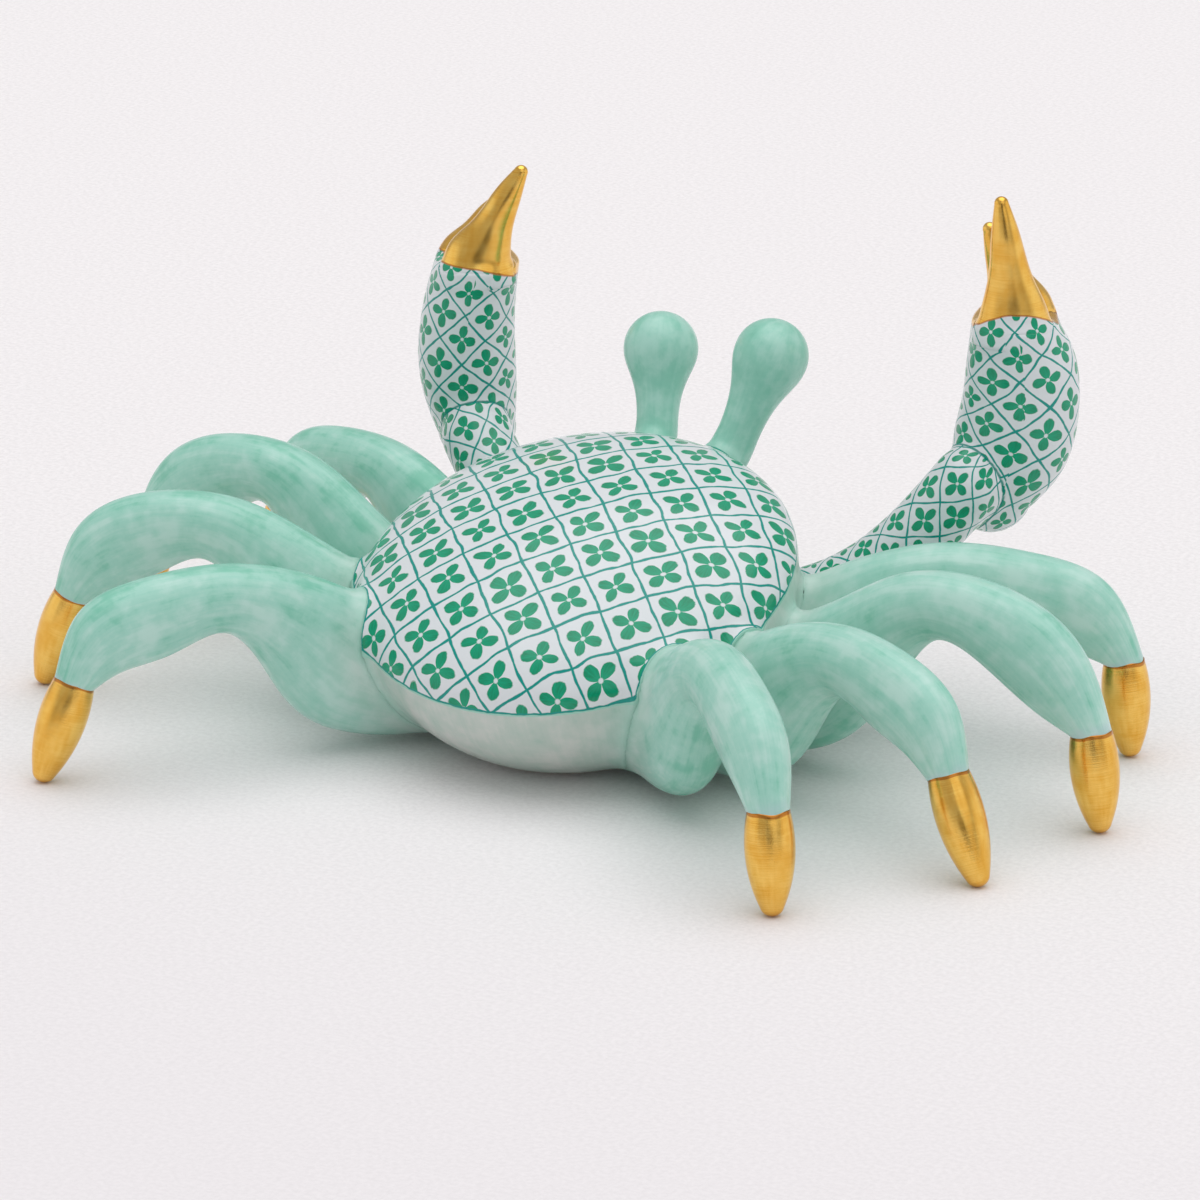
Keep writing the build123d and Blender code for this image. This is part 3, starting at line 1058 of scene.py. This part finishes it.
def add_body():
    limbs = [(form, hip_fillet) for form in leg_shapes.values()]
    limbs += [(form, arm_fillet) for form in arm_shapes.values()]
    limbs += [(form, eye_fillet) for form in eye_shapes.values()]
    gaps = [nearness(shell.points, form, border_reach)[0] for form, _ in limbs]
    to_rim = shell.rim_length - shell.along
    shell.marks["edge"] = np.minimum(np.min(gaps, axis=0), to_rim)
    add_piece("carapace_painted", "carapace", shell, sponge(shell, limbs), shell_paint,
              shell_corners(shell))
    bowl.marks["joint"] = closeness(bowl, limbs)
    bowl.marks["root"] = closeness(bowl, [(form, root_spread) for form in leg_shapes.values()])
    belly = add_piece("belly_glazed", "belly", bowl, sponge(bowl, limbs), belly_wash,
                      bowl.corners)
    flatten_foot(belly)


def flatten_foot(belly):
    """Cuts the bowl off at the floor and drills the firing vent."""
    work = bmesh.new()
    work.from_mesh(belly.data)
    everything = work.verts[:] + work.edges[:] + work.faces[:]
    bmesh.ops.bisect_plane(work, geom=everything, plane_co=(0, 0, 0), plane_no=(0, 0, -1),
                           clear_outer=True)
    rim = [edge for edge in work.edges if edge.is_boundary]
    radius = vent_diameter / 2
    turns = np.linspace(0, 2 * pi, vent_sides, endpoint=False)
    vent = [(radius * cos(t) * MM, (radius * sin(t) - vent_behind) * MM) for t in turns]
    mouth = [work.verts.new((x, y, 0)) for x, y in vent]
    end = [work.verts.new((x, y, vent_depth * MM)) for x, y in vent]
    pairs = [(i, (i + 1) % vent_sides) for i in range(vent_sides)]
    lip = [work.edges.new((mouth[i], mouth[j])) for i, j in pairs]
    flat = [work.faces.new((mouth[i], mouth[j], end[j], end[i])) for i, j in pairs]
    flat.append(work.faces.new(end))
    filled = bmesh.ops.triangle_fill(work, use_beauty=True, edges=rim + lip)["geom"]
    flat += [item for item in filled if isinstance(item, bmesh.types.BMFace)]
    for item in flat + rim:
        item.smooth = False
    bmesh.ops.recalc_face_normals(work, faces=work.faces[:])
    work.to_mesh(belly.data)
    work.free()


def add_legs():
    for name, form in leg_shapes.items():
        side = name.split("_")[0]
        row = [arm_shapes[side]] + [leg_shapes[f"{side}_leg_{n}"] for n in range(1, 5)]
        place = row.index(form)
        joined = [shell, bowl] + row[place - 1 : place] + row[place + 1 : place + 2]
        joints = [(other, hip_fillet) for other in joined]
        form.marks["joint"] = closeness(form, joints)
        form.marks["root"] = closeness(form, [(bowl, root_spread)])
        add_piece(f"{name}_glazed", name, form, sponge(form, joints), leg_wash,
                  form.corners)
    for name, form in toe_shapes.items():
        add_piece(f"{name}_gold", name, form, form.points, gold, form.corners)


def add_arms():
    for side, form in arm_shapes.items():
        palm, fingers = palm_shapes[side], finger_shapes[side]
        joints = [(shell, arm_fillet), (bowl, arm_fillet),
                  (leg_shapes[f"{side}_leg_1"], hip_fillet), (palm, wrist_fillet)]
        form.marks["joint"] = closeness(form, joints)
        form.marks["gilt"] = np.full(len(form.points), -palm_length)
        add_piece(f"{side}_arm_painted", f"{side}_arm", form, sponge(form, joints), limb_paint,
                  cell_corners(form, cells_round_arm))
        palm.marks["joint"] = closeness(palm, [(form, wrist_fillet)])
        joints = [(form, wrist_fillet)] + [(other, finger_fillet) for other in fingers.values()]
        add_piece(f"{side}_claw_painted", f"{side}_claw", palm, sponge(palm, joints), limb_paint,
                  cell_corners(palm, cells_round_claw))
        for name, finger in fingers.items():
            finger.marks["joint"] = np.zeros(len(finger.points))
            node = f"{side}_{name}_finger_gilding"
            points = sponge(finger, [(palm, finger_fillet)])
            add_piece(f"{node}_gold", node, finger, points, limb_paint,
                      cell_corners(finger, cells_round_claw))


def add_eyes():
    for side, form in eye_shapes.items():
        joints = [(shell, eye_fillet), (bowl, eye_fillet)]
        form.marks["joint"] = closeness(form, joints)
        form.marks["root"] = np.zeros(len(form.points))
        add_piece(f"{side}_eye_glazed", f"{side}_eye", form, sponge(form, joints), eye_wash,
                  form.corners)


add_body()
add_legs()
add_arms()
add_eyes()


# Floor, light and camera

# Paper: half its side in metres, its grain and specks, and painted shade that darkens it in front,
# towards the camera
floor_half = 40.0
paper_rough = 0.85
grain_patch = Patch(1.0, 1.5, 4.0, 0.7)
grain_rise = 0.28, 0.72
speck_patch = Patch(1.0, 0.55, 6.0, 0.75)
speck_rise = 0.67, 0.72, 0.35
near_shade_rise = 60.0, -160.0, 0.5

# The room from the floor up, its dim side behind the photographer, and windows on two sides
room_low = 0.8, 0.8, 0.81, 1
room_high = 0.92, 0.92, 0.93, 1
room_rise = -0.1, 0.8
room_strength = 0.58
dim_tone = 0.1, 0.1, 0.1, 1
dim_towards = 0.5, -0.866, 0.0
dim_rise = 0.945, 0.988
dim_top = 0.3, 0.65
window_tone = 1.6, 1.58, 1.55, 1
window_towards = 0.866, 0.5, 0.0
window_rise = 0.72, 0.95
window_top = 0.35, 0.6


def add_floor():
    mesh = bpy.data.meshes.new("floor")
    signs = (-1, -1), (1, -1), (1, 1), (-1, 1)
    mesh.from_pydata([(x * floor_half, y * floor_half, 0) for x, y in signs], [], [(0, 1, 2, 3)])
    shader = paint_shader("pale_paper")
    grain = shader.rise(shader.noise(grain_patch), *grain_rise)
    tone = shader.mix(grain, paper_dark, paper_light)
    tone = shader.mix(shader.rise(shader.noise(speck_patch), *speck_rise), tone, speck_grey)
    # Painted shade: the paper is mixed towards a darker tone towards the camera
    near = shader.rise(shader.split(shader.place())[1], *near_shade_rise)
    tone = shader.mix(near, tone, paper_near_shade)
    mesh.materials.append(shader.finish({"Base Color": tone, "Roughness": paper_rough}))
    floor = bpy.data.objects.new("floor", mesh)
    bpy.context.scene.collection.objects.link(floor)


def add_light(name, direction, strength, spread):
    """A distant lamp, as wide as its spread in degrees."""
    lamp = bpy.data.lights.new(name, "SUN")
    lamp.energy = strength
    lamp.angle = radians(spread)
    piece = bpy.data.objects.new(name, lamp)
    piece.rotation_euler = Vector(direction).to_track_quat("Z", "Y").to_euler()
    bpy.context.scene.collection.objects.link(piece)


def add_world():
    """A pale room, brighter overhead and at two windows, and dim behind the photographer."""
    shader = Shader(bpy.data.worlds.new("room"), "Background")
    direction = shader.node("ShaderNodeTexCoord").outputs["Generated"]
    height = shader.split(direction)[2]
    tone = shader.mix(shader.rise(height, *room_rise), room_low, room_high)
    dim = shader.math("MULTIPLY", shader.rise(shader.dot(direction, dim_towards), *dim_rise),
                      shader.fall(height, *dim_top))
    tone = shader.mix(dim, tone, dim_tone)
    aside = shader.math("ABSOLUTE", shader.dot(direction, window_towards))
    window = shader.math("MULTIPLY", shader.rise(aside, *window_rise),
                         shader.fall(height, *window_top))
    tone = shader.mix(window, tone, window_tone)
    bpy.context.scene.world = shader.finish({"Color": tone, "Strength": room_strength})


def add_camera():
    """The photograph's view: from behind the crab and its right, and from a little above."""
    bearing, elevation = radians(30), radians(19.3)
    distance, aside, above, ahead = 900.0, 2.488, 16.915, 4.9
    right = np.array([cos(bearing), sin(bearing), 0])
    back = np.array([sin(bearing), -cos(bearing), 0]) * cos(elevation) + UP * sin(elevation)
    upward = np.cross(back, right)
    stand = back * distance + right * aside + upward * above + AHEAD * ahead
    camera = bpy.data.cameras.new("camera")
    camera.lens = 217.0
    camera.sensor_width = 36.0
    camera.clip_start = 0.01
    piece = bpy.data.objects.new("camera", camera)
    turn = Matrix([[right[i], upward[i], back[i]] for i in range(3)]).to_4x4()
    piece.matrix_world = Matrix.Translation(Vector(stand * MM)) @ turn
    bpy.context.scene.collection.objects.link(piece)
    bpy.context.scene.camera = piece


add_floor()
add_world()
add_light("key", direction=(0.0, 0.1, 1.0), strength=1.38, spread=68)
add_light("fill", direction=(0.66, -0.5, 0.57), strength=0.24, spread=50)
add_camera()
bpy.context.scene.view_settings.view_transform = "Standard"
